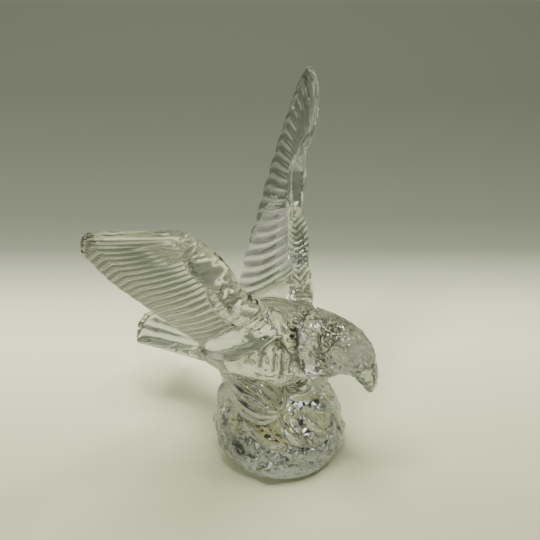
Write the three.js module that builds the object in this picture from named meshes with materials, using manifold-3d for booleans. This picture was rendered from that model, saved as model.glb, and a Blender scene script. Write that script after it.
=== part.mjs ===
// A crystal eagle figurine: an eagle with raised wings, leaning forward from a rough rock.
// Eagle and rock are one casting, so the whole figure is a single solid.
// Millimetres, +X the way the eagle looks, +Y its left, +Z up, origin at the middle of the underside.
import * as THREE from "three";
import { ParametricGeometry } from "three/addons/geometries/ParametricGeometry.js";
import { mergeVertices } from "three/addons/utils/BufferGeometryUtils.js";
import Module from "manifold-3d";

const wasm = await Module();
wasm.setup();

// Driving dimensions of the rock
const ROCK_RADIUS = 43.4;
const ROCK_TOP = 56;
const ROCK_LEAN = [-0.11, -0.06]; // how far its middle moves per millimetre of height
const ROCK_PROFILE = [
  [0.9, 0],
  [0.96, 0.09],
  [1, 0.22],
  [0.985, 0.36],
  [0.92, 0.5],
  [0.87, 0.64],
  [0.77, 0.79],
  [0.58, 0.93],
  [0.34, 1],
]; // share of the radius, and share of the height at which it holds
const ROCK_HEWN = 1.5; // depth of the rough hewing
const ROCK_WAVES = [
  [4, 0.031, 0, 1],
  [7, -0.047, 0.3, 1],
  [11, 0.083, 0.7, 0.7],
]; // the hewing's waves: how many around, twist per millimetre of height, start, weight
const ROCK_FOOT = 6; // height over which the hewing grows from a plain foot ring

// Driving dimensions of the torso and head: the spine's x and z, half width and half height
const SPINE = [
  [-61, 59, 7, 6],
  [-51, 61.5, 17, 14],
  [-28, 71.5, 25, 24],
  [-4, 83.5, 27, 28],
  [13, 90.5, 22.5, 24.5],
  [26, 93.5, 17.5, 21],
  [38, 95.5, 15.5, 19],
  [48.5, 94, 12.5, 15],
  [57, 88, 8, 10],
  [61.5, 80, 4.6, 6],
  [63.5, 71.5, 1.2, 1.6],
];
const HEAD_START = 0.44; // share of the spine behind the head's ruff
const NECK_IN_HEAD = 0.1; // share of the spine over which the neck runs on inside the head
const RUFF_TUFTS = 12;
const RUFF_DEPTH = 0.03; // how far the tufts reach back, as a share of the spine
const RUFF_STEP = 0.08; // how far the ruff stands out over the neck, as a share of its size
const FACE = [
  [0.72, 0.13, 1.4, 0.07],
  [0.75, 0.03, -1.5, 0.07],
  [0.8, -0.1, -0.9, 0.06],
]; // brow, hollow before the eye and gape: place along and around, height, spread
const EYE = [53, 9.2, 100.5];
const EYE_HALF = [2.6, 2, 2.2];

// Driving dimensions of the left wing, which the right one mirrors. The rim runs from inside the chest
// over shoulder, wrist (its seventh point) and hand to the wing tip. The hind edge runs from inside the
// back to the tip.
const RIM = [
  [8, 6, 80],
  [9.5, 15, 100],
  [2, 21.5, 127],
  [-6.4, 32, 141],
  [-12.8, 38.7, 161],
  [-17.9, 49.4, 179],
  [-20.9, 57.9, 190],
  [-20.4, 71.5, 203],
  [-28.3, 90, 210.5],
  [-39.3, 105.5, 215],
  [-51, 115.5, 214.5],
  [-57.5, 112, 199],
];
const RIM_SECTION = [
  [5, 5],
  [7, 5],
  [9.5, 5.6],
  [9.5, 5.4],
  [9, 5],
  [8.2, 4.6],
  [7, 4.2],
  [5.2, 3.6],
  [4.4, 3.2],
  [4, 3],
  [3.6, 2.8],
  [1.8, 1.6],
]; // half width and half thickness of the rim at each of its points
const WRIST = 6 / 11; // share of the rim below the wrist
const ARM_START = 0.1; // share of the arm before the first feather
const FEATHER_FAN = 0.3; // how much closer the feathers start towards the wrist
const HIND = [
  [-45.5, 9, 58],
  [-49.4, 19.3, 73.5],
  [-55.3, 40, 100.5],
  [-57.6, 66, 134.5],
  [-59.2, 90, 165.8],
  [-57.5, 112, 199],
];
const WING_MIDDLE = [-38, 70, 150];
const COVERTS = 4; // lobes of small feathers along the arm
const COVERT_SWELL = 0.45;
const COVERT_START = 0.5; // share of the arm over which the lobes grow to full size
const FEATHERS = 18;
const FEATHER_RIDGE = 0.8;
const RIDGE_START = 0.25; // share of the chord over which a feather's ridge rises
const PLAIN_ROOT = 0.2; // share of the span next to the body that is smooth and thick
const ROOT_SWELL = 4;
const FEATHER_NOTCH = 1.4; // depth of the notches between feather tips
const PLATE_HALF = [2.6, 1.3]; // half thickness of the feathers at the arm and at the hind edge

// Driving dimensions of the tail
const TAIL_ROOT = [-46, 0, 60];
const TAIL_END = [-112, 0, 58];
const TAIL_HALF_WIDTH = [13, 21];
const TAIL_HALF_THICK = [5, 2.6];
const TAIL_ROUND = 9; // how far the middle of its end stands behind the corners
const TAIL_ARCH = 3;
const TAIL_FEATHERS = 5;
const TAIL_RIDGE = 1;

// Driving dimensions of the legs
const UNDERBODY = [-12, 0, 52]; // middle of the mass that joins the legs under the belly
const UNDERBODY_HALF = [31, 22, 20];
const THIGH_REAR = [-41, -14, 56];
const THIGH_FRONT = [15, -20.5, 47];
const THIGH_RADIUS = 18.5;
const THIGH_FORWARD = 1.7; // above 1 moves the fullest part towards the front
const THIGH_FLUTES = 18;
const THIGH_FLUTE_DEPTH = 1;
const TALON_BEARINGS = [-46, -20, 70, 96]; // degrees to the left of straight ahead, at the ankle end
const TALON_DRIFT = 9; // degrees by which a talon turns to the front on its way down
const TALON_RADIUS = 5;
const TALON_LENS = [0.15, 0.8]; // start and length of the talon's swelling, as shares of a half wave
const TALON_PATH = [
  [0.78, -4],
  [0.71, -1.6],
  [0.63, -0.6],
  [0.52, -0.6],
]; // share of the rock's profile, and how far the talon's middle stands out from it

const vector = (p) => new THREE.Vector3(...p);
const mix = THREE.MathUtils.lerp;
const wave = (x) => Math.abs(Math.sin(Math.PI * x));
const MEAN_WAVE = 2 / Math.PI;
const flattened = (sine) => Math.sign(sine) * Math.sqrt(Math.abs(sine));

function smoothCurve(points) {
  return new THREE.CatmullRomCurve3(points.map(vector), false, "catmullrom", 0.5);
}

// A closed surface: surfacePoint(around, along) gives a ring for each step along, and a flat fan closes
// both ends.
function closedSurface(surfacePoint, ringSteps, alongSteps) {
  const ringMiddle = (along) => {
    const sum = new THREE.Vector3();
    for (let i = 0; i < ringSteps; i++) sum.add(surfacePoint(i / ringSteps, along));
    return sum.divideScalar(ringSteps);
  };
  const rows = alongSteps + 2;
  const place = (around, row, target) => {
    const along = (row * rows - 1) / alongSteps;
    if (row <= 0) target.copy(ringMiddle(0));
    else if (row >= 1) target.copy(ringMiddle(1));
    else target.copy(surfacePoint(around % 1, THREE.MathUtils.clamp(along, 0, 1)));
  };
  return solidOf(new ParametricGeometry(place, ringSteps, rows));
}

// The same for a surface whose end rings are pressed flat, so that they close by themselves.
function pressedSurface(surfacePoint, ringSteps, alongSteps) {
  const place = (around, along, target) => {
    target.copy(surfacePoint(around % 1, THREE.MathUtils.clamp(along, 0, 1)));
  };
  return solidOf(new ParametricGeometry(place, ringSteps, alongSteps));
}

// A closed geometry as a solid: shared vertices merged, collapsed triangles dropped, faces turned out.
function solidOf(geometry) {
  const bare = new THREE.BufferGeometry();
  bare.setAttribute("position", geometry.getAttribute("position"));
  bare.setIndex(geometry.index);
  const merged = mergeVertices(bare, 1e-4);
  const index = merged.index.array;
  const kept = [];
  for (let i = 0; i < index.length; i += 3) {
    const [a, b, c] = [index[i], index[i + 1], index[i + 2]];
    if (a !== b && b !== c && c !== a) kept.push(a, b, c);
  }
  const vertProperties = new Float32Array(merged.getAttribute("position").array);
  const build = (triVerts) =>
    new wasm.Manifold(new wasm.Mesh({ numProp: 3, vertProperties, triVerts }));
  const solid = build(new Uint32Array(kept));
  if (solid.volume() > 0) return solid;
  for (let i = 0; i < kept.length; i += 3) [kept[i + 1], kept[i + 2]] = [kept[i + 2], kept[i + 1]];
  return build(new Uint32Array(kept));
}

// The rock: a bulging profile turned about a leaning axis, with rough hewing on it.
const ROCK_CURVE = new THREE.SplineCurve(ROCK_PROFILE.map((p) => new THREE.Vector2(...p)));
const ROCK_MEAN = ROCK_WAVES.reduce((sum, [, , , weight]) => sum + weight * MEAN_WAVE, 0);

function rockPoint(around, along) {
  const bearing = 2 * Math.PI * around;
  const profile = ROCK_CURVE.getPoint(along);
  const height = ROCK_TOP * profile.y;
  const hewing = ROCK_WAVES.reduce(
    (sum, [count, twist, start, weight]) =>
      sum + weight * wave(count * around + twist * height + start),
    -ROCK_MEAN,
  );
  const grown = Math.min(1, height / ROCK_FOOT);
  const radius = ROCK_RADIUS * profile.x + ROCK_HEWN * hewing * grown;
  return new THREE.Vector3(
    ROCK_LEAN[0] * height + radius * Math.cos(bearing),
    ROCK_LEAN[1] * height + radius * Math.sin(bearing),
    height,
  );
}

// Torso, neck, head and beak: elliptical rings square to the spine.
const SPINE_PATH = smoothCurve(SPINE.map(([x, z]) => [x, 0, z]));
const SPINE_SIZE = smoothCurve(SPINE.map(([, , w, h]) => [w, h, 0]));

function spineRing(around, along, scale, lift) {
  const angle = 2 * Math.PI * around;
  const middle = SPINE_PATH.getPoint(along);
  const tangent = SPINE_PATH.getTangent(along);
  const size = SPINE_SIZE.getPoint(along).multiplyScalar(scale).addScalar(lift);
  const rise = size.y * Math.sin(angle);
  return new THREE.Vector3(
    middle.x - tangent.z * rise,
    size.x * Math.cos(angle),
    middle.z + tangent.x * rise,
  );
}

function torsoPoint(around, along) {
  return spineRing(around, along * (HEAD_START + NECK_IN_HEAD), 1, 0);
}

// The head begins with a ruff of tufts that stands out over the neck. Brow, hollow and gape are alike on
// both sides, so the place around is measured from the nearer side.
function headPoint(around, along) {
  const tuft = RUFF_DEPTH * wave(RUFF_TUFTS * around);
  const place = mix(HEAD_START + RUFF_DEPTH - tuft, 1, along);
  const fromSide = Math.asin(Math.sin(2 * Math.PI * around)) / (2 * Math.PI);
  const lift = FACE.reduce((sum, [where, side, height, spread]) => {
    const distance = ((place - where) / spread) ** 2 + ((fromSide - side) / spread) ** 2;
    return sum + height * Math.exp(-distance);
  }, 0);
  return spineRing(around, place, 1 + RUFF_STEP * (1 - along) ** 2, lift);
}

// The wing's rim: a thick arm and a slim hand. Its middle lies half its width inside the wing's outline.
const RIM_CURVE = smoothCurve(RIM);
const RIM_SIZE = smoothCurve(RIM_SECTION.map(([a, b]) => [a, b, 0]));

function rimInward(along) {
  const tangent = RIM_CURVE.getTangent(along);
  const inward = vector(WING_MIDDLE).sub(RIM_CURVE.getPoint(along));
  return inward.addScaledVector(tangent, -inward.dot(tangent)).normalize();
}

function rimMiddle(along) {
  return RIM_CURVE.getPoint(along).addScaledVector(rimInward(along), RIM_SIZE.getPoint(along).x);
}

function rimPoint(around, along) {
  const angle = 2 * Math.PI * around;
  const inward = rimInward(along);
  const normal = RIM_CURVE.getTangent(along).cross(inward);
  const size = RIM_SIZE.getPoint(along);
  const upArm = Math.min(1, along / WRIST);
  const onArm = wave(COVERTS * upArm) * Math.min(1, upArm / COVERT_START);
  const swell = 1 + COVERT_SWELL * onArm * Math.max(0, Math.cos(angle));
  return rimMiddle(along)
    .addScaledVector(inward, size.x * Math.cos(angle) * swell)
    .addScaledVector(normal, size.y * Math.sin(angle));
}

// The wing's feathers lie on a sheet between the rim and the hind edge: span 0 to 1 from body to hand,
// chord 0 to 1 from rim to hind edge. The last feather follows the hand.
const HIND_CURVE = smoothCurve(HIND);
const SHEET_STEP = 0.05;

function sheetPoint(span, chord) {
  const share = span * (1 + FEATHER_FAN - FEATHER_FAN * span);
  const front = rimMiddle(WRIST * mix(ARM_START, 1, share));
  const hind = HIND_CURVE.getPoint(span);
  const notch = FEATHER_NOTCH * (wave(FEATHERS * span) - 1) * chord * chord;
  const reach = chord + notch / front.distanceTo(hind);
  const hand = rimMiddle(mix(WRIST, 1, chord)).sub(rimMiddle(WRIST).lerp(rimMiddle(1), chord));
  return front.lerp(hind, reach).addScaledVector(hand, span * span);
}

function sheetNormal(span, chord) {
  const middle = (where) => sheetPoint(THREE.MathUtils.clamp(where, 0, 1), 0.5);
  const across = middle(span + SHEET_STEP).sub(middle(span - SHEET_STEP));
  const feather = sheetPoint(span, Math.min(1, chord + SHEET_STEP));
  const along = feather.sub(sheetPoint(span, Math.max(0, chord - SHEET_STEP)));
  return across.cross(along).normalize();
}

function featherPoint(around, along) {
  const angle = 2 * Math.PI * around;
  const chord = (1 - Math.cos(angle)) / 2;
  const plain = Math.max(0, 1 - along / PLAIN_ROOT);
  const grown = Math.min(1, chord / RIDGE_START) * (1 - plain);
  const ridge = FEATHER_RIDGE * (wave(FEATHERS * along) - MEAN_WAVE) * grown;
  const pressed = Math.min(1, FEATHERS * along, FEATHERS * (1 - along));
  const half = (mix(...PLATE_HALF, chord) + ridge + ROOT_SWELL * plain) * pressed;
  const offset = flattened(Math.sin(angle)) * half;
  return sheetPoint(along, chord).addScaledVector(sheetNormal(along, chord), offset);
}

// The tail: an arched fan of long feathers with a rounded end.
function tailPoint(around, along) {
  const angle = 2 * Math.PI * around;
  const across = Math.cos(angle);
  const middle = vector(TAIL_ROOT).lerp(vector(TAIL_END), along);
  const reach = TAIL_ROUND * along * (1 - across * across);
  const ridge = TAIL_RIDGE * (wave((TAIL_FEATHERS * (across + 1)) / 2) - MEAN_WAVE) * along;
  const half = mix(...TAIL_HALF_THICK, along) + ridge;
  const side = flattened(Math.sin(angle));
  return new THREE.Vector3(
    middle.x + TAIL_ROUND * along - reach,
    mix(...TAIL_HALF_WIDTH, along) * across,
    middle.z - TAIL_ARCH * along * across * across + half * side,
  );
}

// A thigh: a fluted lobe whose flutes run together at the rear.
function thighPoint(around, along) {
  const angle = 2 * Math.PI * around;
  const middle = vector(THIGH_REAR).lerp(vector(THIGH_FRONT), along);
  const swell = Math.sqrt(Math.max(0, Math.sin(Math.PI * along ** THIGH_FORWARD)));
  const flute = THIGH_FLUTE_DEPTH * (wave(THIGH_FLUTES * around) - MEAN_WAVE);
  const radius = (THIGH_RADIUS + flute) * swell;
  return new THREE.Vector3(
    middle.x,
    middle.y + radius * Math.cos(angle),
    middle.z + radius * Math.sin(angle),
  );
}

// A talon: a lens-shaped, bent finger from the ankle down over the rock's brow.
function talonPoint(bearing) {
  const onRock = ([share, out], i) => {
    const drifted = bearing - (Math.sign(bearing) * TALON_DRIFT * i) / (TALON_PATH.length - 1);
    const spot = rockPoint(drifted / 360, share);
    const axis = new THREE.Vector3(ROCK_LEAN[0] * spot.z, ROCK_LEAN[1] * spot.z, spot.z);
    const away = spot.sub(axis);
    return away.setLength(away.length() + out).add(axis);
  };
  const path = smoothCurve(TALON_PATH.map(onRock).map((p) => p.toArray()));
  const turn = (bearing * Math.PI) / 180;
  const flat = new THREE.Vector3(-Math.sin(turn), Math.cos(turn), 0);
  return (around, along) => {
    const angle = 2 * Math.PI * around;
    const up = path.getTangent(along).cross(flat).normalize();
    const radius = TALON_RADIUS * wave(TALON_LENS[0] + TALON_LENS[1] * along) ** 0.7;
    return path
      .getPoint(along)
      .addScaledVector(flat, radius * Math.cos(angle))
      .addScaledVector(up, radius * Math.sin(angle));
  };
}

const acrossBody = (point) => point.setY(-point.y);

const mirrored = (surfacePoint) => (around, along) => acrossBody(surfacePoint(around, along));

function ellipsoid(middle, half, steps) {
  const ball = new THREE.SphereGeometry(1, steps, steps / 2);
  ball.scale(...half);
  ball.translate(...middle);
  return solidOf(ball);
}

function wing(side) {
  const place = side > 0 ? (surfacePoint) => surfacePoint : mirrored;
  const feathers = pressedSurface(place(featherPoint), 10, FEATHERS * 4);
  return feathers.add(closedSurface(place(rimPoint), 8, 40));
}

function thigh(side) {
  const place = side < 0 ? (surfacePoint) => surfacePoint : mirrored;
  return closedSurface(place(thighPoint), THIGH_FLUTES * 2, 7);
}

function eye(side) {
  const [x, y, z] = EYE;
  return ellipsoid([x, side * y, z], EYE_HALF, 8);
}

function eagleSolid() {
  let eagle = closedSurface(rockPoint, 36, 12)
    .add(ellipsoid(UNDERBODY, UNDERBODY_HALF, 16))
    .add(closedSurface(torsoPoint, 20, 16))
    .add(closedSurface(headPoint, RUFF_TUFTS * 2, 14))
    .add(closedSurface(tailPoint, TAIL_FEATHERS * 7, 6));
  for (const side of [-1, 1]) eagle = eagle.add(thigh(side)).add(wing(side)).add(eye(side));
  for (const bearing of TALON_BEARINGS)
    eagle = eagle.add(closedSurface(talonPoint(bearing), 8, 7));
  return eagle;
}

function meshOf(name, solid, material) {
  const { numProp, vertProperties, triVerts } = solid.getMesh();
  const stride = new THREE.InterleavedBuffer(vertProperties, numProp);
  const geometry = new THREE.BufferGeometry();
  geometry.setAttribute("position", new THREE.InterleavedBufferAttribute(stride, 3, 0));
  geometry.setIndex(new THREE.BufferAttribute(triVerts, 1));
  const mesh = new THREE.Mesh(geometry.toNonIndexed(), material);
  mesh.name = name;
  return mesh;
}

const crystal = new THREE.MeshStandardMaterial({
  color: 0xe9ece4,
  roughness: 0.04,
  metalness: 0,
  transparent: true,
  opacity: 0.35,
});

const figurine = new THREE.Group();
figurine.add(meshOf("eagle_on_rock", eagleSolid(), crystal));

export default figurine;
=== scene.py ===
# %% [markdown]
# # A cast crystal eagle
# The real figurine is one lump of clear lead crystal: an eagle with raised wings, leaning forward from
# a rough rock. Molten glass is pressed into a mould, so eagle and rock are a single body with soft,
# rounded joins. Here the limbs are worked out as surfaces with numpy, fused into one closed casting,
# and given their finer relief afterwards, in the order a mould maker would carve them.
# All lengths in the tables are millimetres. The eagle looks along +X, its left is +Y.

# %% Start from the CAD part
import bpy
import numpy as np
from mathutils import Matrix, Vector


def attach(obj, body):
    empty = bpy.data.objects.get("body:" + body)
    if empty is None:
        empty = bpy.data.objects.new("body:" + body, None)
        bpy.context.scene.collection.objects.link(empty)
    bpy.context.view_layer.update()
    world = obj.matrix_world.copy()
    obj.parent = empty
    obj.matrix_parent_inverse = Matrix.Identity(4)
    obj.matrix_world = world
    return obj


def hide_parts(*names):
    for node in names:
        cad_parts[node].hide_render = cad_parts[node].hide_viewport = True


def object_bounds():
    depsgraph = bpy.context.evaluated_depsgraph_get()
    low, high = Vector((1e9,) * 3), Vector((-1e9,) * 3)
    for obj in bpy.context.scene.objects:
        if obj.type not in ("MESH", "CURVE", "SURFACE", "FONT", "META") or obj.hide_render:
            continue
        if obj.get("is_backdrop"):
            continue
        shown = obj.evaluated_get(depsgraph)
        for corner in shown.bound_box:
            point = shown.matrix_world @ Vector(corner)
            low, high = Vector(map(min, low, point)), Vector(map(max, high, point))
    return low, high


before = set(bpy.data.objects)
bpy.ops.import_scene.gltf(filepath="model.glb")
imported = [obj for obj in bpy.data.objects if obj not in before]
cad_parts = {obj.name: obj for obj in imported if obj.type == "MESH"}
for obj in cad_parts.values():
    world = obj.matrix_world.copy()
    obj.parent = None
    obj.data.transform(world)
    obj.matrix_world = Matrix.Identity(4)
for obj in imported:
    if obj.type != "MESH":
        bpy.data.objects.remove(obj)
cad_low, cad_high = (np.array(corner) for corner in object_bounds())
MM = 0.001
print("CAD box in mm:", (cad_low / MM).round(1), (cad_high / MM).round(1))

# %% [markdown]
# ## Curves, waves and closed skins
# A few small tools make every limb. A smooth curve runs through a table of measured points, a folded
# sine wave gives feathers their rounded backs with sharp valleys between, and a grid of rings becomes a
# closed skin. A skin that is closed and faces outward is what the fusing step needs.

# %% Tools for the limbs
def smooth_curve(rows, share):
    """Catmull-Rom curve through the rows: between two rows it is a cubic whose slope at each row is
    half the step from the row before to the row after. share 0 to 1 runs from first to last row."""
    rows = np.asarray(rows, float)
    ends = np.vstack([2 * rows[0] - rows[1], rows, 2 * rows[-1] - rows[-2]])
    place = np.clip(share, 0, 1) * (len(rows) - 1)
    k = np.minimum(place.astype(int), len(rows) - 2)
    f = (place - k)[..., None]
    a, b, c, d = (ends[k + i] for i in range(4))
    return b + f / 2 * (c - a + f * (2 * a - 5 * b + 4 * c - d + f * (3 * (b - c) + d - a)))


def unit(v):
    """Each vector divided by its own length."""
    return v / np.maximum(np.linalg.norm(v, axis=-1, keepdims=True), 1e-9)


def heading(rows, share):
    """Direction of the smooth curve: the step from just before to just after, at length one."""
    return unit(smooth_curve(rows, share + 1e-4) - smooth_curve(rows, share - 1e-4))


def wave(x):
    """Folded sine, the size of sin(pi x): one rounded back for each whole number, 0 between them."""
    return np.abs(np.sin(np.pi * x))


def mix(a, b, share):
    """The value that lies that share of the way from a to b."""
    return a + (b - a) * share


def rise(x, start, end):
    """0 before start, 1 after end, and a smooth 3s^2 - 2s^3 step between."""
    s = np.clip((x - start) / (end - start), 0, 1)
    return s * s * (3 - 2 * s)


def skin_grid(steps_along, steps_around):
    """Grid of two shares: along from 0 to 1, and around from 0 to just before the ring closes."""
    return np.meshgrid(np.linspace(0, 1, steps_along), np.arange(steps_around) / steps_around, indexing="ij")


def skin(surface, steps_along, steps_around):
    """Closed skin of surface(along, around): rings that close on themselves, each quad cut in two
    triangles, and a fan to the ring's middle at both ends. Turned outward if its volume is negative."""
    along, around = skin_grid(steps_along, steps_around)
    rings = surface(along, around)
    a = np.arange(along.size).reshape(along.shape)
    b = np.roll(a, -1, axis=1)
    first, last = a.size + np.zeros_like(a[0]), a.size + 1 + np.zeros_like(a[0])
    tris = np.vstack([np.stack(corners, -1).reshape(-1, 3) for corners in (
        (a[:-1], b[:-1], b[1:]), (a[:-1], b[1:], a[1:]),
        (first, b[0], a[0]), (last, a[-1], b[-1]))])
    points = np.vstack([rings.reshape(-1, 3), rings[0].mean(0), rings[-1].mean(0)])
    p, q, r = (points[tris[:, i]] for i in range(3))
    volume = np.einsum("ij,ij->", p, np.cross(q, r)) / 6
    return points, tris if volume > 0 else tris[:, ::-1]


def mirrored(limb):
    """The same skin on the other side of the body, its triangles turned round to face outward."""
    points, tris = limb
    return points * [1, -1, 1], tris[:, ::-1]


def together(skins):
    """Points and triangles of several skins as one pair of tables, the point numbers counted on."""
    starts = np.cumsum([0] + [len(points) for points, _ in skins])
    return (np.vstack([points for points, _ in skins]),
            np.vstack([tris + start for (_, tris), start in zip(skins, starts)]))


MEAN_WAVE = 2 / np.pi
limbs = []

# %% [markdown]
# ## The rock
# The rock stands on a plain round foot and bulges before it narrows under the claws. It is a profile
# carried round a leaning axis. Three sets of folded waves, twisting against each other, give the hewn
# faces. They fade out at the foot, so that the figure stands flat.

# %% Rock
ROCK_RADIUS, ROCK_TOP, ROCK_LEAN = 43.4, 56, np.array([-0.11, -0.06])
ROCK_HEWN, ROCK_FOOT = 1.5, 6
ROCK_PROFILE = [(0.9, 0), (0.96, 0.09), (1, 0.22), (0.985, 0.36), (0.92, 0.5), (0.87, 0.64),
                (0.77, 0.79), (0.58, 0.93), (0.34, 1)]
ROCK_WAVES = [(4, 0.031, 0, 1), (7, -0.047, 0.3, 1), (11, 0.083, 0.7, 0.7)]


def rock(along, around):
    """Radius times the profile's share, plus the waves of (count x around + twist x height + start)
    less their mean, set off from an axis that leans with height."""
    share, height = np.moveaxis(smooth_curve(ROCK_PROFILE, along) * [1, ROCK_TOP], -1, 0)
    hewn = sum(weight * (wave(count * around + twist * height + start) - MEAN_WAVE)
               for count, twist, start, weight in ROCK_WAVES)
    radius = ROCK_RADIUS * share + ROCK_HEWN * hewn * np.minimum(1, height / ROCK_FOOT)
    turn = 2 * np.pi * around
    return np.stack([ROCK_LEAN[0] * height + radius * np.cos(turn),
                     ROCK_LEAN[1] * height + radius * np.sin(turn), height], -1)


limbs.append(skin(rock, 70, 260))
print("rock:", len(limbs[-1][1]), "triangles")

# %% [markdown]
# ## Torso, neck, head and beak
# One bent spine carries the rump, back, neck, head and hooked beak as rings square to it. The head is a
# second, slightly larger skin that starts with a ruff: its hem runs in tufts over the smooth neck.
# Brow, eye hollow and gape are soft bumps set on the head's skin, and the eyes are small beads. Each row
# of the spine's table is x, z, half width and half height.

# %% Torso and head
SPINE = [(-61, 59, 7, 6), (-51, 61.5, 17, 14), (-28, 71.5, 25, 24), (-4, 83.5, 27, 28),
         (13, 90.5, 22.5, 24.5), (26, 93.5, 17.5, 21), (38, 95.5, 15.5, 19), (48.5, 94, 12.5, 15),
         (57, 88, 8, 10), (61.5, 80, 4.6, 6), (63.5, 71.5, 1.2, 1.6)]
HEAD_START, NECK_IN_HEAD = 0.475, 0.1
RUFF_TUFTS, RUFF_DEPTH, RUFF_STEP = 26, 0.01, 0.08
EYE, EYE_HALF = (55, 8.4, 99.6), (2.3, 1.9, 2)
FACE = [(0.72, 0.13, 1.4, 0.07), (0.75, 0.03, -1.5, 0.07), (0.8, -0.1, -0.9, 0.06)]


def spine_ring(around, place, scale=1, lift=0):
    """Ellipse square to the spine: half width times cosine sideways, half height times sine upward."""
    x, z, wide, high = np.moveaxis(smooth_curve(SPINE, place), -1, 0)
    tx, tz = np.moveaxis(heading(np.array(SPINE)[:, :2], place), -1, 0)
    up = (high * scale + lift) * np.sin(2 * np.pi * around)
    return np.stack([x - tz * up, (wide * scale + lift) * np.cos(2 * np.pi * around), z + tx * up], -1)


def torso(along, around):
    """The rings from the rump to a little way inside the head."""
    return spine_ring(around, along * (HEAD_START + NECK_IN_HEAD))


def head(along, around):
    """The rings from the tufted hem to the beak's tip, a little larger at the hem. Each face bump is
    its height times exp(-d^2), d the distance along and around from its place over its spread."""
    hem = HEAD_START + RUFF_DEPTH * (1 - wave(RUFF_TUFTS * around))
    place = mix(hem, 1, along)
    side = np.arcsin(np.sin(2 * np.pi * around)) / (2 * np.pi)
    lift = sum(height * np.exp(-((place - where) / spread) ** 2 - ((side - across) / spread) ** 2)
               for where, across, height, spread in FACE)
    return spine_ring(around, place, 1 + RUFF_STEP * (1 - along) ** 2, lift)


def ball(middle, half):
    """Ellipsoid: half sizes times (cos, sin) round the middle, over a half turn from pole to pole."""
    return lambda along, around: np.asarray(middle) + np.asarray(half) * np.stack([
        -np.cos(np.pi * along), np.sin(np.pi * along) * np.cos(2 * np.pi * around),
        np.sin(np.pi * along) * np.sin(2 * np.pi * around)], -1)


limbs += [skin(torso, 110, 130), skin(head, 90, 144)]
eye = skin(ball(EYE, EYE_HALF), 12, 16)
limbs += [eye, mirrored(eye)]
print("torso, head and eyes:", sum(len(tris) for _, tris in limbs[-4:]), "triangles")

# %% [markdown]
# ## Shoulder muscles
# A spindle of muscle runs from the flank to each arm, so that the wing grows out of the back without a
# gap. It is a round section that swells and sinks along a smooth path. Each row of the table is a point
# of the path and the radius there.

# %% Shoulders
SHOULDER = [(-52, 13, 66, 3), (-36, 17.5, 81, 9), (-14, 20, 99, 13), (2, 19, 109, 12.5), (9, 13, 107, 7)]


def shoulder(along, around):
    """Rings of a changing radius round a smooth path: cosine sideways, and sine upward along a direction
    that leans back, 0.6 to the rear for 0.8 up."""
    row = smooth_curve(SHOULDER, along)
    turn = 2 * np.pi * around
    ring = np.stack([-0.6 * np.sin(turn), np.cos(turn), 0.8 * np.sin(turn)], -1)
    return row[..., :3] + row[..., 3:] * ring


muscle = skin(shoulder, 60, 48)
limbs += [muscle, mirrored(muscle)]
print("one shoulder:", len(muscle[1]), "triangles")

# %% [markdown]
# ## The wings' rims
# A thick rim leads each wing: the arm with two swollen lobes up to the wrist, then a flat hand to the tip.
# The rim is measured along its outer edge, and its middle lies half a width inside that edge, towards the
# middle of the wing.

# %% Wing rims
RIM = [(8, 6, 80), (9.5, 15, 100), (2, 21.5, 127), (-6.4, 32, 141), (-12.8, 38.7, 161),
       (-17.9, 49.4, 179), (-20.9, 57.9, 190), (-20.4, 71.5, 203), (-28.3, 90, 210.5),
       (-39.3, 105.5, 215), (-51, 115.5, 214.5), (-57.5, 112, 199)]
RIM_SIZE = [(5, 5), (7, 5), (9.5, 5.6), (9.5, 5.4), (9, 5), (8.2, 4.6), (7, 3.6), (6.5, 2.6),
            (6.5, 2.3), (6.5, 2.3), (6, 2.2), (2.5, 1.6)]
WRIST, WING_MIDDLE = 6 / 11, np.array([-38, 70, 150])
LOBE_START, LOBE, LOBES = 0.345, 0.31, 2


def rim_frame(along):
    """Middle of the rim, its inward and sideways directions, and half width and thickness. Inward is
    the way to the wing's middle, less its part along the rim; the middle lies half a width inward."""
    edge, size = smooth_curve(RIM, along), smooth_curve(RIM_SIZE, along)
    tangent = heading(RIM, along)
    inward = WING_MIDDLE - edge
    inward = unit(inward - tangent * (inward * tangent).sum(-1, keepdims=True))
    return edge + inward * size[..., :1], inward, np.cross(tangent, inward), size


def rim(along, around):
    """Boxy ellipses on the arm, plain ones on the hand. On the arm they swell inward and in thickness in
    two covert lobes, with a sharp fold before and after each."""
    middle, inward, across, size = rim_frame(along)
    cos, sin = np.cos(2 * np.pi * around), np.sin(2 * np.pi * around)
    lobe = wave(np.clip((along / WRIST - LOBE_START) / LOBE, 0, LOBES))
    on_arm = rise(along, 0.17, 0.22) * rise(-along, -0.58, -0.5)
    box = 1 - 0.25 * rise(-along, -0.6, -0.5)
    wide = size[..., 0] * np.sign(cos) * np.abs(cos) ** box * (1 + 0.3 * lobe * np.maximum(0, cos))
    thick = size[..., 1] * np.sign(sin) * np.abs(sin) ** box * (1 + on_arm * (0.45 * lobe - 0.25))
    return middle + inward * wide[..., None] + across * thick[..., None]


arm = skin(rim, 260, 48)
limbs += [arm, mirrored(arm)]
print("one wing's rim:", len(arm[1]), "triangles")
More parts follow.
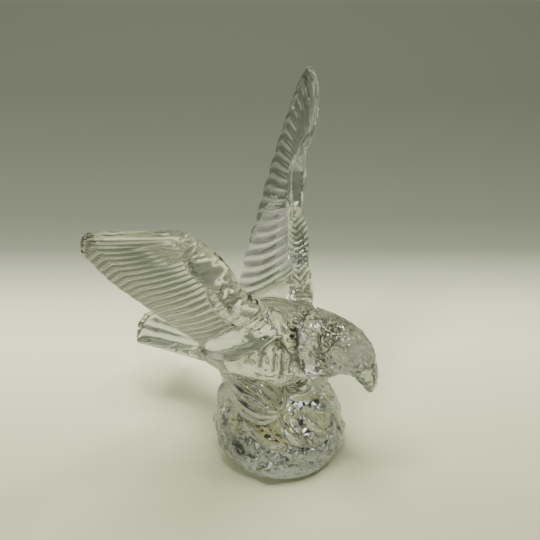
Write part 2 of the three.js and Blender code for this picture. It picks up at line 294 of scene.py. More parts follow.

# %% [markdown]
# ## The long feathers
# A sheet of feathers fills the space between the rim and the hind edge. It is two curves joined by straight
# feathers, bowed at the hand end. Ribs run in step over both faces, so that every feather is a small lens,
# and the hind edge is notched between the tips. Both wings come from the same functions, but the left is
# cut with softer ribs and deeper notches than the right. The ribs' valleys are kept as a mask for painted
# shade.

# %% Wing feathers
HIND = [(-45.5, 9, 58), (-49.4, 19.3, 73.5), (-55.3, 40, 100.5), (-57.6, 66, 134.5),
        (-59.2, 90, 165.8), (-57.5, 112, 199)]
FEATHERS, FAN, PLAIN_ROOT, ROOT_SWELL, PLATE_HALF = 26, 0.3, 0.2, 4, (2.6, 1.3)
PLATE_STEPS, RIB_SHADE = (10 * FEATHERS + 1, 64), 0.45
LEFT_CUT, RIGHT_CUT = (0.55, 0.6, 2.4), (0.4, 0.75, 0.5)


def sheet(span, chord, notched=0):
    """Straight from rim to hind edge at each span, plus span squared times the hand's own bow. Between
    feather tips the reach falls short by up to notched, in proportion to the chord's fourth power."""
    front = rim_frame(WRIST * mix(0.1, 1, span * (1 + FAN - FAN * span)))[0]
    hind = smooth_curve(HIND, span)
    notch = notched * (wave(FEATHERS / 2 * span) - 1) * chord ** 4
    reach = (chord + notch / np.linalg.norm(front - hind, axis=-1))[..., None]
    wrist, tip = (rim_frame(np.full_like(chord, end))[0] for end in (WRIST, 1))
    bow = rim_frame(mix(WRIST, 1, chord))[0] - mix(wrist, tip, chord[..., None])
    return mix(front, hind, reach) + bow * (span ** 2)[..., None]


def rib_place(along, around):
    """Share of the way from rim to hind edge, and a count of the feathers that sags between the two."""
    chord = (1 - np.cos(2 * np.pi * around)) / 2
    return chord, FEATHERS * (along + 0.2 * chord * (1 - chord))


def feathers(broad, fine, notched):
    """The sheet set off to both sides along its normal by half its thickness. Broad, soft waves run over
    the face towards the body, and as many fine, folded ones over the other; the arguments are their
    heights and the depth of the notches."""
    def rings(along, around):
        chord, rib = rib_place(along, around)
        plain = np.maximum(0, 1 - along / PLAIN_ROOT)
        sine = np.sin(2 * np.pi * around)
        ridge = np.where(sine > 0, -broad * np.cos(2 * np.pi * rib) * rise(chord, 0.2, 0.5),
                         fine * (wave(rib) - MEAN_WAVE))
        ridge = ridge * np.minimum(1, 4 * chord) * (1 - plain) * mix(1, 0.6, chord)
        pressed = np.minimum(1, 2.5 * FEATHERS * np.minimum(along, 1 - along))
        half = (mix(*PLATE_HALF, chord) + ridge + ROOT_SWELL * plain) * pressed
        middle = np.full_like(chord, 0.5)
        across = sheet(np.clip(along + 0.05, 0, 1), middle) - sheet(np.clip(along - 0.05, 0, 1), middle)
        down = sheet(along, np.minimum(1, chord + 0.05)) - sheet(along, np.maximum(0, chord - 0.05))
        offset = np.sign(sine) * np.sqrt(np.abs(sine)) * half
        return sheet(along, chord, notched) + unit(np.cross(across, down)) * offset[..., None]
    return rings


def rib_lines(along, around):
    """RIB_SHADE of painted shade on the feathers, up to 1 in the valleys between ribs, most of all near the
    arm.
    """
    chord, rib = rib_place(along, around)
    inner = (0.5 + 0.5 * np.cos(2 * np.pi * rib)) ** 3 * rise(chord, 0.2, 0.5)
    outer = (1 - wave(rib)) ** 2 * mix(1, 0.2, chord)
    valley = np.where(np.sin(2 * np.pi * around) > 0, inner, outer)
    return RIB_SHADE + (1 - RIB_SHADE) * valley * rise(along, 0.1, 0.25)


plates = {"left_feathers": skin(feathers(*LEFT_CUT), *PLATE_STEPS),
          "right_feathers": mirrored(skin(feathers(*RIGHT_CUT), *PLATE_STEPS))}
print("one wing's feathers:", len(plates["left_feathers"][1]), "triangles")

# %% [markdown]
# ## Tail, thighs and talons
# The tail is a wedge with flat sides and a rounded end, cut into five long feathers. A fluted lobe makes
# each thigh: its flutes run together at the rear, as leg feathers do. Two lens-shaped talons a foot
# grip the brow of the rock. A plain lump under the belly fills the space between the legs.

# %% Tail and legs
TAIL_ROOT, TAIL_END, TAIL_HALF, TAIL_THICK, TAIL_FEATHERS = -46, -112, (13, 21), (6.5, 3), 5
TAIL_ROUND, TAIL_DROOP, TAIL_RIDGE, TAIL_BOX = 9, 3, 1.9, 0.4


def tail(along, around):
    """Boxy rings, cosine and sine to the power TAIL_BOX, that widen and thin to the rear. The end bulges
    by 1 - across^2, the sides droop, and folded waves make feathers on the upper face."""
    cos, sin = np.cos(2 * np.pi * around), np.sin(2 * np.pi * around)
    across, up = (np.sign(part) * np.abs(part) ** TAIL_BOX for part in (cos, sin))
    ridge = TAIL_RIDGE * (wave(TAIL_FEATHERS * (across + 1) / 2) - 0.8) * np.minimum(1, 1.5 * along)
    x = mix(TAIL_ROOT, TAIL_END, along) + TAIL_ROUND * along * across ** 2
    half = mix(*TAIL_THICK, along) + ridge * (sin > 0)
    z = mix(58.5, 58, along) - TAIL_DROOP * along * across ** 2 + half * up
    return np.stack([x, mix(*TAIL_HALF, along) * across, z], -1)


THIGH, THIGH_RADIUS = np.array([(-41, 14, 56), (15, 20.5, 47)]), 18.5
FLUTES, FLUTE_DEPTH = 18, 1.9


def thigh_swell(along):
    """Share of the thigh's radius, the root of sin(pi along^1.7): pointed at the rear, blunt in front."""
    return np.sqrt(np.maximum(0, np.sin(np.pi * along ** 1.7)))


def thigh(along, around):
    """Round rings along a straight middle line, with folded waves for the flutes."""
    radius = (THIGH_RADIUS + FLUTE_DEPTH * (wave(FLUTES * around) - MEAN_WAVE)) * thigh_swell(along)
    turn = 2 * np.pi * around
    ring = np.stack([np.zeros_like(turn), np.cos(turn), np.sin(turn)], -1)
    return mix(*THIGH, along[..., None]) + radius[..., None] * ring


TALONS, TALON_RADIUS = (-46, -20, 70, 96), 5
TALON_PATH = [(0.78, -4), (0.71, -1.6), (0.63, -0.6), (0.52, -0.6)]
UNDERBODY, UNDERBODY_HALF = (-12, 0, 52), (31, 22, 20)


def talon(bearing):
    """Rings along a smooth path on the rock that turns to the front on its way down. Their radius
    swells and sinks like a lens, by a wave to the power 0.7."""
    share, out = np.array(TALON_PATH).T
    spots = rock(share, (bearing - np.sign(bearing) * np.linspace(0, 9, 4)) / 360)
    axis = spots[:, 2:] * np.append(ROCK_LEAN, 1)
    path = spots + unit(spots - axis) * out[:, None]
    turn = np.radians(bearing)
    flat = np.array([-np.sin(turn), np.cos(turn), 0])

    def rings(along, around):
        radius = TALON_RADIUS * wave(0.15 + 0.8 * along)[..., None] ** 0.7
        up = unit(np.cross(heading(path, along), flat))
        angle = 2 * np.pi * around[..., None]
        return smooth_curve(path, along) + radius * (flat * np.cos(angle) + up * np.sin(angle))
    return rings


leg = skin(thigh, 60, 180)
limbs += [skin(tail, 70, 240), leg, mirrored(leg),
          skin(ball(UNDERBODY, UNDERBODY_HALF), 30, 40)]
limbs += [skin(talon(bearing), 24, 20) for bearing in TALONS]
print("all limbs:", sum(len(tris) for _, tris in limbs), "triangles in", len(limbs), "skins")

# %% [markdown]
# ## One casting
# In the mould all limbs are one hollow, so the glass runs together and every join is filleted. A voxel
# remesh does the same: it keeps only the outside of all the overlapping skins. Its small stair steps
# would sparkle wrongly in clear glass, so they are relaxed. Each pass moves a point towards the mean of
# its neighbours and then almost as far back, which flattens steps of one voxel and spares the feathers.
# Where wing and back meet, the points are relaxed much further, so that the muscle flows into the body.

# %% Fuse the limbs
VOXEL, JOINT, JOINT_SPREAD = 1.05, (-2, 102), (24, 20)


def mesh_object(name, points, faces):
    """A mesh object at the origin, from points in millimetres and faces as rows of point numbers."""
    mesh = bpy.data.meshes.new(name)
    mesh.from_pydata((points * MM).tolist(), [], faces.tolist())
    obj = bpy.data.objects.new(name, mesh)
    bpy.context.scene.collection.objects.link(obj)
    return obj


def relaxed(points, edges, steps):
    """Each step moves every point by that share of the way to the mean of its neighbours."""
    a, b = np.concatenate([edges, edges[:, ::-1]]).T
    count = np.bincount(a, minlength=len(points))[:, None]
    for step in steps:
        near = np.stack([np.bincount(a, points[b, i], len(points)) for i in range(3)], -1) / count
        points = points + step * (near - points)
    return points


rough = mesh_object("limbs", *together(limbs))
fuse = rough.modifiers.new("fuse", "REMESH")
fuse.mode, fuse.voxel_size, fuse.adaptivity = "VOXEL", VOXEL * MM, 0
fused = rough.evaluated_get(bpy.context.evaluated_depsgraph_get()).to_mesh()
points = np.empty(len(fused.vertices) * 3)
edges = np.empty(len(fused.edges) * 2, int)
quads = np.empty(len(fused.loops), int)
fused.vertices.foreach_get("co", points)
fused.edges.foreach_get("vertices", edges)
fused.loops.foreach_get("vertex_index", quads)
points, edges, quads = points.reshape(-1, 3) / MM, edges.reshape(-1, 2), quads.reshape(-1, 4)
bpy.data.objects.remove(rough)
points = relaxed(points, edges, [0.5, -0.53] * 10)
x, y, z = points[:, 0], np.abs(points[:, 1]), points[:, 2]
joint = np.exp(-((x - JOINT[0]) / JOINT_SPREAD[0]) ** 2 - ((z - JOINT[1]) / JOINT_SPREAD[1]) ** 2)
joint = np.minimum(1, 1.3 * (joint * rise(y, 6, 14) * rise(-y, -40, -30)))
points = mix(points, relaxed(points, edges, [0.5] * 100), joint[:, None])
print("casting:", len(points), "points,", 2 * len(quads), "triangles")

# %% [markdown]
# ## Relief carved into the mould
# Finer marks are pushed into the casting along its own normals, so each is first worked out as a height
# for every point, and all are added up. Chips and pebbles come from scattered points: what counts is how
# far each place is from the nearest of them.

# %% Relief tools
def normals_of(points, quads):
    """Mean direction of the faces round each point: the cross product of a face's two diagonals is
    added up at its four corners and brought to length one."""
    a, b, c, d = (points[quads[:, i]] for i in range(4))
    face = np.cross(c - a, d - b)
    total = np.stack([np.bincount(quads.ravel(), np.repeat(face[:, i], 4), len(points))
                      for i in range(3)], -1)
    return unit(total)


def scattered(points, size, seed, power=2):
    """Distance to the nearest of points scattered one to a cube of that size, as a share of the size.
    Power 2 measures straight, for round pebbles; 1 adds up x, y and z, for flat-sided chips."""
    table = np.random.default_rng(seed).random((32, 32, 32, 3))
    place = points / size
    cube = np.floor(place).astype(int)
    nearest = np.full(len(points), 9.0)
    for step in np.ndindex(3, 3, 3):
        there = cube + np.array(step) - 1
        spot = there + table[tuple((there % 32).T)]
        nearest = np.minimum(nearest, np.linalg.norm(place - spot, power, axis=1))
    return nearest


relief = np.zeros(len(points))
print("points to carve:", len(points))

# %% [markdown]
# ## Breast and flank
# The breast has a few wavy grooves that fan out from the shoulder, and a crease runs along the flank under
# the wing. Each is a smooth line, seen from the side, with a soft valley along it.

# %% Breast grooves
LEFT_SHARE = 0.4


def groove(points, path, width, depth):
    """Depth times exp(-(distance to the smooth path / width)^2), seen from the side, on the torso only.
    The right side is cut deeper than the left."""
    line = smooth_curve(path, np.linspace(0, 1, 60))
    side_view, out = points[:, [0, 2]], np.abs(points[:, 1])
    near = np.all((side_view > line.min(0) - 3 * width) & (side_view < line.max(0) + 3 * width), axis=1)
    near &= (out > 8) & (out < 34)
    cut = np.zeros(len(points))
    gap = np.linalg.norm(side_view[near, None] - line[None], axis=2).min(1)
    cut[near] = depth * np.exp(-(gap / width) ** 2)
    return cut * np.where(points[:, 1] > 0, LEFT_SHARE, 1)


GROOVES = [
    ([(9.6, 104), (4.6, 98.8), (-0.2, 89.1), (-1.1, 83.4)], 1.5, 2.3),
    ([(9.4, 101.2), (8.3, 94.9), (7.4, 87.7), (7.5, 81.4)], 1.3, 2),
    ([(10.6, 104), (12.1, 97.3), (12.1, 90.3), (11.7, 77.9), (10.6, 73.4)], 1.3, 2.2),
    ([(11, 104), (15.1, 97), (17.8, 91.2), (16.8, 80.7)], 1.3, 2.2),
    ([(-51.3, 65.3), (-34.9, 74.8), (-22.7, 79.3), (-13, 86.7), (-3, 95)], 1.6, 2),
]
cuts = sum(groove(points, *path) for path in GROOVES)
relief -= cuts
print("deepest groove:", cuts.max().round(2), "mm")

# %% [markdown]
# ## Head and neck
# The head is pebbled all over and stands out from a sunken neck. Both zones are found by looking up which
# place of the spine each point lies nearest to. A ring is cut round the eyes, which stay smooth.

# %% Head relief
HEAD_LIFT, NECK_SINK, PEBBLE, PEBBLE_HEIGHT, EYE_RING = 0.5, 2.8, 3.4, 1.1, 0.6


def along_spine(points):
    """Share of the spine that lies nearest to each point, seen from the side, and the share of a turn
    round it there, counted from the left over the top."""
    share = np.linspace(0, 1, 500)
    line = smooth_curve(SPINE, share)[:, :2]
    side_view = points[:, [0, 2]]
    near = ((side_view ** 2).sum(1)[:, None] - 2 * side_view @ line.T + (line ** 2).sum(1)).argmin(1)
    tangent = heading(np.array(SPINE)[:, :2], share)[near]
    offset = side_view - line[near]
    up = offset[:, 1] * tangent[:, 0] - offset[:, 0] * tangent[:, 1]
    size = smooth_curve(SPINE, share)[near, 2:]
    return share[near], np.arctan2(up / size[:, 1], points[:, 1] / size[:, 0]) / (2 * np.pi)


def head_masks(points):
    """Two masks: 1 on the head in front of its tufted hem, and 1 on the neck just behind the hem."""
    place, around = along_spine(points)
    ahead = place - HEAD_START - RUFF_DEPTH * (1 - wave(RUFF_TUFTS * around))
    near = (points[:, 0] > 12) & (points[:, 2] > 62) & (np.abs(points[:, 1]) < 24)
    return near * rise(ahead, -0.006, 0.006), near * rise(ahead, -0.055, -0.02) * rise(-ahead, -0.006, 0.006)


on_head, on_neck = head_masks(points)
eye_gap = np.linalg.norm(np.abs(points) - [55, 10, 99.6], axis=1)
pebbled = on_head * rise(eye_gap, 3, 6) * PEBBLE_HEIGHT * (0.55 - scattered(points, PEBBLE, 1))
eye_ring = EYE_RING * np.exp(-((eye_gap - 3.4) / 0.9) ** 2)
relief += HEAD_LIFT * on_head - NECK_SINK * on_neck + pebbled - eye_ring
print("points on the head:", int((on_head > 0.5).sum()))

# %% [markdown]
# ## Arms
# A herringbone runs down the front of the lower left arm. The upper left arm and the whole right arm are
# cut in flat chips. Both follow the rim, so each point is looked up by its place along the arm and round
# it.

# %% Arm relief
HERRINGBONE, HERRINGBONE_DEPTH, ARM_CHIP, ARM_CHIP_DEPTH = 60, 1.3, 8, 0.7


def along_arm(points):
    """For points on an arm: share of the rim's length, how far round its ring a point lies from the line
    that faces forward, as sine and cosine, and a mask that fades at shoulder and wrist."""
    share = np.linspace(0.12, 0.53, 500)
    middle, inward, across, size = rim_frame(share)
    flipped = points * np.stack([np.ones(len(points)), np.sign(points[:, 1]), np.ones(len(points))], -1)
    place, off, facing, own = np.zeros((4, len(points)))
    arm = np.flatnonzero((flipped[:, 1] > 16) & (points[:, 2] > 98) & (points[:, 0] > -45))
    spot = flipped[arm]
    near = ((middle ** 2).sum(1) - 2 * spot @ middle.T).argmin(1)
    cos = ((spot - middle[near]) * inward[near]).sum(1) / size[near, 0]
    sin = ((spot - middle[near]) * across[near]).sum(1) / size[near, 1]
    place[arm], off[arm] = share[near], 0.87 * sin + 0.5 * cos
    own[arm] = np.hypot(cos, sin) < 1.9
    facing[arm] = np.maximum(0, 0.5 * sin - 0.87 * cos)
    return place, off, facing, own * rise(place, 0.12, 0.15) * rise(-place, -0.53, -0.48)


place, off, facing, on_arm = along_arm(points)
herringbone = wave(HERRINGBONE * place - 1.2 * np.abs(off))
on_left = on_arm * (points[:, 1] > 0) * np.minimum(1, 1.5 * facing) * rise(-place, -0.35, -0.3)
chipped = on_arm * np.where(points[:, 1] < 0, 1, rise(place, 0.32, 0.36))
relief += (on_left * HERRINGBONE_DEPTH * (herringbone - 0.64)
           + chipped * ARM_CHIP_DEPTH * (scattered(points, ARM_CHIP, 4, 1) - 0.7))
print("points on the arms:", int((on_arm > 0.5).sum()))

# %% [markdown]
# ## Rock
# The rock is broken into chips of two sizes, stretched upward. Two spots are left smoother, and through
# these one can look into the rock. Each row of the table is a size, a depth and a seed.

# %% Rock relief
CHIPS = [(9, 1.5, 2), (4.5, 0.8, 3)]
SMOOTH_SPOTS = [(13, -36, 38), (29, -10, 44)]


def rock_mask(points):
    """1 where a point lies on the rock's own profile, fading out at the foot, the top and the legs,
    and in the smoother spots by 1 - 0.9 exp(-(distance / 15)^2)."""
    height = points[:, 2]
    reach = np.linalg.norm(points[:, :2] - height[:, None] * ROCK_LEAN, axis=1)
    share, level = np.array(ROCK_PROFILE).T
    own = ROCK_RADIUS * np.interp(height / ROCK_TOP, level, share)
    gaps = np.linalg.norm(points[:, None] - SMOOTH_SPOTS, axis=2)
    rough = np.prod(1 - 0.9 * np.exp(-(gaps / 15) ** 2), axis=1)
    return rough * rise(own + 4 - reach, 0, 2) * rise(height, 1, 6) * rise(54 - height, 0, 6)


hewn_grain = points * [1, 1, 0.65]
relief += rock_mask(points) * sum(depth * (scattered(hewn_grain, size, seed, 1) - 0.7)
                                  for size, depth, seed in CHIPS)
print("points on the rock:", int((rock_mask(points) > 0.5).sum()))

# %% [markdown]
# ## Painted dark lines
# The valleys between the thighs' flutes and the tail's feathers get painted shade, darker than the rest, so
# the finish has to know where they lie. With that, everything is known that depends on the plain form, and
# the points move by the relief.

# %% Valleys
FLUTE_SHADE, TAIL_SHADE = 0.7, 0.6


def flute_lines(points):
    """1 in the flutes' valleys, where shade is painted, found from the turn round the thigh's middle line.
    """
    along = np.clip((points[:, 0] - THIGH[0, 0]) / (THIGH[1, 0] - THIGH[0, 0]), 0, 1)
    middle = mix(*THIGH, along[:, None])
    side, up = np.abs(points[:, 1]) - middle[:, 1], points[:, 2] - middle[:, 2]
    near = rise(-np.abs(np.hypot(side, up) - THIGH_RADIUS * thigh_swell(along)), -4, -2)
    return near * (1 - wave(FLUTES * np.arctan2(up, side) / (2 * np.pi))) ** 2 * (np.abs(along - 0.5) < 0.5)


def tail_lines(points):
    """1 in the valleys between the tail's feathers, where shade is painted, found from the share across the
    fan.
    """
    along = np.clip((TAIL_ROOT - points[:, 0]) / (TAIL_ROOT - TAIL_END), 0, 1)
    across = np.clip(points[:, 1] / mix(*TAIL_HALF, along), -1, 1)
    return (along > 0) * rise(points[:, 2], 56, 58) * (1 - wave(TAIL_FEATHERS * (across + 1) / 2)) ** 3


lines = FLUTE_SHADE * flute_lines(points) + TAIL_SHADE * tail_lines(points)
points = points + normals_of(points, quads) * relief[:, None]
print("relief from", relief.min().round(2), "to", relief.max().round(2), "mm")

# %% [markdown]
# ## The finished casting
# The feathers are joined on last, as exact solids, because their fine ribs are narrower than the voxels
# that fused the limbs. Where the result stands past the CAD part's box it is drawn in. Four masks ride
# on the mesh as attributes, so that the material knows where shade is painted along the ribs and in the
# grooves, where the head is pebbled and how strong the fine texture is.

# %% Casting object
def add_mask(mesh, name, values):
    """Stores one number a point as an attribute that materials can read."""
    mesh.attributes.new(name, "FLOAT", "POINT").data.foreach_set("value", values.astype(np.float32))


body = mesh_object("crystal_casting", points, quads)
add_mask(body.data, "painted_rib_shade", np.zeros(len(points)))
# Painted shade: breast grooves, the sunken neck's band, a strip down the left arm's front, flute and tail
# valleys.
dark = cuts / 2 + on_neck + on_left * (0.9 - 0.6 * herringbone) + lines
add_mask(body.data, "painted_groove_shade", np.clip(dark, 0, 1))
for name, part in plates.items():
    plate = mesh_object(name, *part)
    # The feathers carry painted shade: a grey over the whole sheet, darkest in the valleys between ribs.
    add_mask(plate.data, "painted_rib_shade", np.append(rib_lines(*skin_grid(*PLATE_STEPS)), [RIB_SHADE] * 2))
    add_mask(plate.data, "painted_groove_shade", np.zeros(len(part[0])))
    join = body.modifiers.new(name, "BOOLEAN")
    join.operation, join.solver, join.object = "UNION", "MANIFOLD", plate
mesh = bpy.data.meshes.new_from_object(body.evaluated_get(bpy.context.evaluated_depsgraph_get()))
for name in [*plates, "crystal_casting"]:
    bpy.data.objects.remove(bpy.data.objects[name])
points = np.empty(len(mesh.vertices) * 3)
mesh.vertices.foreach_get("co", points)
points = points.reshape(-1, 3) / MM
low, high = cad_low / MM, cad_high / MM
middle = (low + high) / 2
span = np.maximum(points.max(0) - middle, middle - points.min(0)) / ((high - low) / 2)
print("share of the CAD box reached:", span.round(4))
points = middle + (points - middle) / np.maximum(span * 1.0005, 1)
points[:, 2] = np.maximum(points[:, 2], 0)
mesh.vertices.foreach_set("co", (points * MM).ravel())
mesh.shade_smooth()
mesh.set_sharp_from_angle(angle=np.radians(50))
add_mask(mesh, "stippled", head_masks(points)[0])
add_mask(mesh, "textured", 0.6 * head_masks(points)[0] + 0.3 * rock_mask(points))
casting = bpy.data.objects.new("crystal_casting", mesh)
bpy.context.scene.collection.objects.link(casting)
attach(casting, "root")
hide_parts("eagle_on_rock")
mesh.calc_loop_triangles()
print("casting:", len(mesh.loop_triangles), "triangles")

# %% [markdown]
# ## Clear lead crystal
# Lead crystal bends light more than window glass, with an index near 1.55. Its own light grey takes a little
# from each ray. Shade is painted on as a darker grey over the pebbled head and the feathers, most of all in
# the narrow valleys between ribs, and as near black in the grooves, so that these lines are drawn clearly.
# The surface is polished, but pressed glass is never quite flat, so a soft ripple covers it. The head and
# the rock get a finer bump on top, which makes them sparkle.

# %% Crystal material
def material(name):
    """A new node material and its Principled shader."""
    made = bpy.data.materials.new(name)
    made.use_nodes = True
    return made, made.node_tree, made.node_tree.nodes["Principled BSDF"]


# The first colour is the glass's own light grey; the other two are painted shade, for ribs and head, and for
# grooves.
CLEAR, RIB_PAINTED_SHADE, GROOVE_PAINTED_SHADE = (0.66, 0.67, 0.64, 1), (0.3, 0.31, 0.29, 1), (0.05, 0.052, 0.047, 1)
crystal, tree, glass = material("clear crystal")
glass.inputs["Roughness"].default_value = 0.015
glass.inputs["Metallic"].default_value = 0
glass.inputs["IOR"].default_value = 1.55
glass.inputs["Transmission Weight"].default_value = 1


def node(kind, settings=(), **links):
    """A new node in the current tree: settings by socket name or number, then links to its sockets."""
    made = tree.nodes.new(kind)
    for socket, value in dict(settings).items():
        made.inputs[socket].default_value = value
    for socket, source in links.items():
        tree.links.new(source, made.inputs[int(socket[1:]) if socket[0] == "_" else socket])
    return made


def mask(name):
    """The named attribute of the mesh as a grey value."""
    made = node("ShaderNodeAttribute")
    made.attribute_name = name
    return made.outputs["Fac"]


coords = node("ShaderNodeTexCoord").outputs["Object"]
pebbles = node("ShaderNodeTexVoronoi", {"Scale": 300}, Vector=coords).outputs["Distance"]
hewn = node("ShaderNodeTexVoronoi", {"Scale": 230}, Vector=coords)
hewn.distance = "MANHATTAN"
chips = hewn.outputs["Distance"]
grain = node("ShaderNodeMix", {}, Factor=mask("stippled"), _2=chips, _3=pebbles)
texture = node("ShaderNodeMath", {}, _0=grain.outputs[0], _1=mask("textured"))
texture.operation = "MULTIPLY"
ripple = node("ShaderNodeTexNoise", {"Scale": 90, "Detail": 1}, Vector=coords).outputs[0]
height = node("ShaderNodeMath", {}, _0=texture.outputs[0], _1=ripple)
bump = node("ShaderNodeBump", {"Distance": 0.0008, "Strength": 0.5}, Height=height.outputs[0])
tree.links.new(bump.outputs["Normal"], glass.inputs["Normal"])
# Painted shade: the head and the feathers mix towards the darker grey, and the grooves towards near black.
shaded = node("ShaderNodeMath", {1: RIB_SHADE}, _0=mask("stippled"), _2=mask("painted_rib_shade"))
shaded.operation = "MULTIPLY_ADD"
painted_shading = node("ShaderNodeMix", {6: CLEAR, 7: RIB_PAINTED_SHADE}, Factor=shaded.outputs[0])
painted_shading.data_type = "RGBA"
groove_shade = node("ShaderNodeMix", {7: GROOVE_PAINTED_SHADE}, Factor=mask("painted_groove_shade"))
groove_shade.data_type = "RGBA"
tree.links.new(painted_shading.outputs[2], groove_shade.inputs[6])
tree.links.new(groove_shade.outputs[2], glass.inputs["Base Color"])
mesh.materials.clear()
mesh.materials.append(crystal)

# %% [markdown]
# ## Yellowed stains under the rock
# Two yellow-olive streaks show through the rock. They are stains on its underside, bent and stretched by
# the glass, so they are laid where a sight line through the rock ends. Each is a flat flake with a ragged
# edge just above the foot, and a noise lets its film break up.

# %% Stains
STAINS = [([(-29, 11), (-20, 10), (-8, 7), (5, 2.5)], 4.8), ([(-10, 16.5), (0, 20), (12, 18)], 5.2)]


def stain(path, half):
    """Flat rings across a level path, half wide times the root of a wave, made ragged by two sines."""
    def rings(along, around):
        x, y = np.moveaxis(smooth_curve(path, along), -1, 0)
        tx, ty = np.moveaxis(heading(path, along), -1, 0)
        turn = 2 * np.pi * around
        ragged = 1 + 0.25 * np.sin(23 * along + np.cos(turn)) + 0.15 * np.sin(51 * along)
        across = half * np.sqrt(wave(mix(0.02, 0.98, along))) * ragged * np.cos(turn)
        return np.stack([x - ty * across, y + tx * across, 0.6 + 0.15 * np.sin(turn)], -1)
    return rings


flakes = [skin(stain(*row), 60, 24) for row in STAINS]
stains = mesh_object("underside_stains", *together(flakes))
yellow, tree, film = material("yellowed film")
film.inputs["Roughness"].default_value = 0.8
coords = node("ShaderNodeTexCoord").outputs["Object"]
blotches = node("ShaderNodeTexNoise", {"Scale": 350, "Detail": 4}, Vector=coords).outputs[0]
shade = node("ShaderNodeMix", {6: (0.44, 0.42, 0.2, 1), 7: (0.62, 0.6, 0.36, 1)}, Factor=blotches)
shade.data_type = "RGBA"
tree.links.new(shade.outputs[2], film.inputs["Base Color"])
broken = node("ShaderNodeMapRange", {"From Min": 0.3, "From Max": 0.5}, Value=blotches)
tree.links.new(broken.outputs["Result"], film.inputs["Alpha"])
stains.data.materials.append(yellow)
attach(stains, "root")
print("stains:", sum(len(tris) for _, tris in flakes), "triangles")

# %% [markdown]
# ## A sheet of pale paper
# Clear glass shows only what it bends and mirrors, so its surroundings make the picture. The figurine
# stands on a sheet of pale paper that runs back and curves up far behind it. It is no wider than it has
# to be: what the glass bends from beyond its edges is the dim room, which draws the dark lines. The paper
# is a grid, and its tone, painted light and shade, is stored on the points as a function of the distance
# behind the figurine: brightest a little behind it, darker towards the front edge and far back.

# %% Stage
AZIMUTH, ELEVATION = np.radians(31.45), np.radians(36)
away = np.array([-np.sin(AZIMUTH), np.cos(AZIMUTH), 0])
right = np.array([np.cos(AZIMUTH), np.sin(AZIMUTH), 0])
FLAT, BEND, TALL = 1200, 120, 1300
HALF_WIDE, WIDEN_FROM, WIDEN = 230, 180, 1.2


def sweep(run, side):
    """Level as far as FLAT behind the figurine, then a quarter circle of radius BEND, then upright.
    run counts millimetres along the paper, which gets wider by WIDEN for each mm past WIDEN_FROM."""
    turn = np.clip((run - FLAT) / BEND, 0, np.pi / 2)
    back = np.minimum(run, FLAT) + BEND * np.sin(turn)
    up = BEND * (1 - np.cos(turn)) + np.maximum(0, run - FLAT - BEND * np.pi / 2)
    wide = HALF_WIDE + WIDEN * np.maximum(0, back - WIDEN_FROM)
    return away * back[..., None] + right * (side * wide)[..., None] + [0, 0, 1] * (up - 0.3)[..., None]


run, side = np.meshgrid(np.linspace(-140, FLAT + BEND * np.pi / 2 + TALL, 281), np.linspace(-1, 1, 9),
                        indexing="ij")
number = np.arange(run.size).reshape(run.shape)
quads = np.stack([number[:-1, :-1], number[:-1, 1:], number[1:, 1:], number[1:, :-1]], -1)
paper = mesh_object("pale_floor", sweep(run, side).reshape(-1, 3), quads.reshape(-1, 4))
paper.data.shade_smooth()
# Painted light and shade on the paper: a pale pool just behind the figurine, dark far back, growing pale
# towards the upright.
PAPER_LIGHT_AND_SHADE_AT = [-140, -60, 0, 60, 103, 147, 187, 223, 271, 376, 503, 744, 1400]
PAPER_LIGHT_AND_SHADE = [(0.4, 0.42, 0.273), (0.46, 0.48, 0.316), (0.57, 0.59, 0.392), (0.68, 0.7, 0.469),
        (0.73, 0.76, 0.523), (0.63, 0.66, 0.458), (0.37, 0.39, 0.283), (0.175, 0.183, 0.142),
        (0.13, 0.137, 0.107), (0.11, 0.116, 0.09), (0.095, 0.1, 0.08), (0.11, 0.116, 0.093),
        (0.55, 0.58, 0.48)]
painted_shading = np.stack([np.interp(run, PAPER_LIGHT_AND_SHADE_AT, shares) for shares in np.array(PAPER_LIGHT_AND_SHADE).T] + [np.ones_like(run)], -1)
paper.data.attributes.new("painted_shading", "FLOAT_COLOR", "POINT").data.foreach_set("color", painted_shading.ravel())
card, tree, shader = material("pale paper")
shade = tree.nodes.new("ShaderNodeAttribute")
shade.attribute_name = "painted_shading"
tree.links.new(shade.outputs["Color"], shader.inputs["Base Color"])
shader.inputs["Roughness"].default_value = 0.7
paper.data.materials.append(card)
paper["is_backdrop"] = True
print("paper:", len(quads.reshape(-1, 4)), "quads")

# %% [markdown]
# ## Soft studio light
# One large soft light hangs overhead. It is kept out of reflections, where it would lie as white sheets
# on the wings, and three small lamps make the highlights instead. A weak light stands at the side, and a
# pale card fills in from behind the tail. All are slightly yellow, like the paper.

# %% Light
def soft_light(name, place, aim, size, power):
    """A square area light at a place in millimetres, turned to face the aim."""
    lamp = bpy.data.lights.new(name, "AREA")
    lamp.size, lamp.energy, lamp.color = size * MM, power, (0.98, 1, 0.9)
    obj = bpy.data.objects.new(name, lamp)
    place, aim = np.array(place, float), np.array(aim, float)
    back = unit(place - aim)
    sideways = unit(np.cross([0, 0.01, 1], back))
    matrix = np.eye(4)
    matrix[:3, :3] = np.stack([sideways, np.cross(back, sideways), back], -1)
    matrix[:3, 3] = place * MM
    obj.matrix_world = Matrix(matrix)
    bpy.context.scene.collection.objects.link(obj)
    return obj


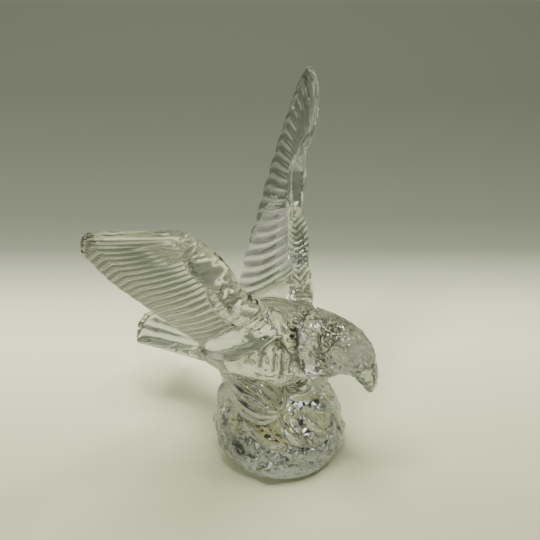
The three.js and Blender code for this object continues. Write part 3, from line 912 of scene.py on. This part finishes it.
ceiling = soft_light("ceiling light", -right * 150 + away * 50 + [0, 0, 1500], (0, 0, 0), 650, 31)
ceiling.visible_glossy = False
soft_light("window light", -right * 1300 - away * 200 + [0, 0, 900], (0, 0, 80), 200, 4)
card_light = soft_light("card", (-750, -130, 90), (0, 0, 120), 520, 1.6)
card_light.data.color = (1, 0.98, 0.84)
for name, along, behind in (("lamp", 150, -300), ("left lamp", -550, -150), ("right lamp", 650, 100)):
    soft_light(name, right * along + away * behind + [0, 0, 1400], (0, 0, 80), 220, 6)
world = bpy.data.worlds.new("room")
world.use_nodes = True
world.node_tree.nodes["Background"].inputs["Color"].default_value = (0.5, 0.52, 0.42, 1)
world.node_tree.nodes["Background"].inputs["Strength"].default_value = 0.08
bpy.context.scene.world = world

# %% [markdown]
# ## Camera
# The camera looks down on the right front of the figurine. Angle, distance and focal length were found by
# matching the outline of the solid to the photo. The two directions right and away were set with the
# paper, so only the way up to the camera is missing.

# %% Camera
TARGET, DISTANCE = np.array([-9.5, 0, 136.5]), 670
SENSOR, FOCAL_PIXELS, PICTURE = 36, 1100, 540
back = -away * np.cos(ELEVATION) + np.array([0, 0, 1]) * np.sin(ELEVATION)
lens = bpy.data.cameras.new("camera")
lens.lens, lens.sensor_width = SENSOR * FOCAL_PIXELS / PICTURE, SENSOR
camera = bpy.data.objects.new("camera", lens)
matrix = np.eye(4)
matrix[:3, :3] = np.stack([right, np.cross(back, right), back], -1)
matrix[:3, 3] = (TARGET + back * DISTANCE) * MM
camera.matrix_world = Matrix(matrix)
bpy.context.scene.collection.objects.link(camera)
bpy.context.scene.camera = camera
print("camera at", (TARGET + back * DISTANCE).round(1), "mm")

# %% [markdown]
# ## Light paths and the finished box
# Light that enters a wing is mirrored between its faces many times before it comes out. Path tracing stops
# after a few mirrors unless told otherwise, and the edges would turn black, so the limits are raised.
# Last, the box of the finished figurine is printed in millimetres.

# %% Light paths and box
light_paths = bpy.context.scene.cycles
light_paths.max_bounces, light_paths.glossy_bounces, light_paths.transmission_bounces = 32, 24, 24
low, high = (np.array(corner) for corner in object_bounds())
print("visual box in mm:", (low / MM).round(2), (high / MM).round(2))
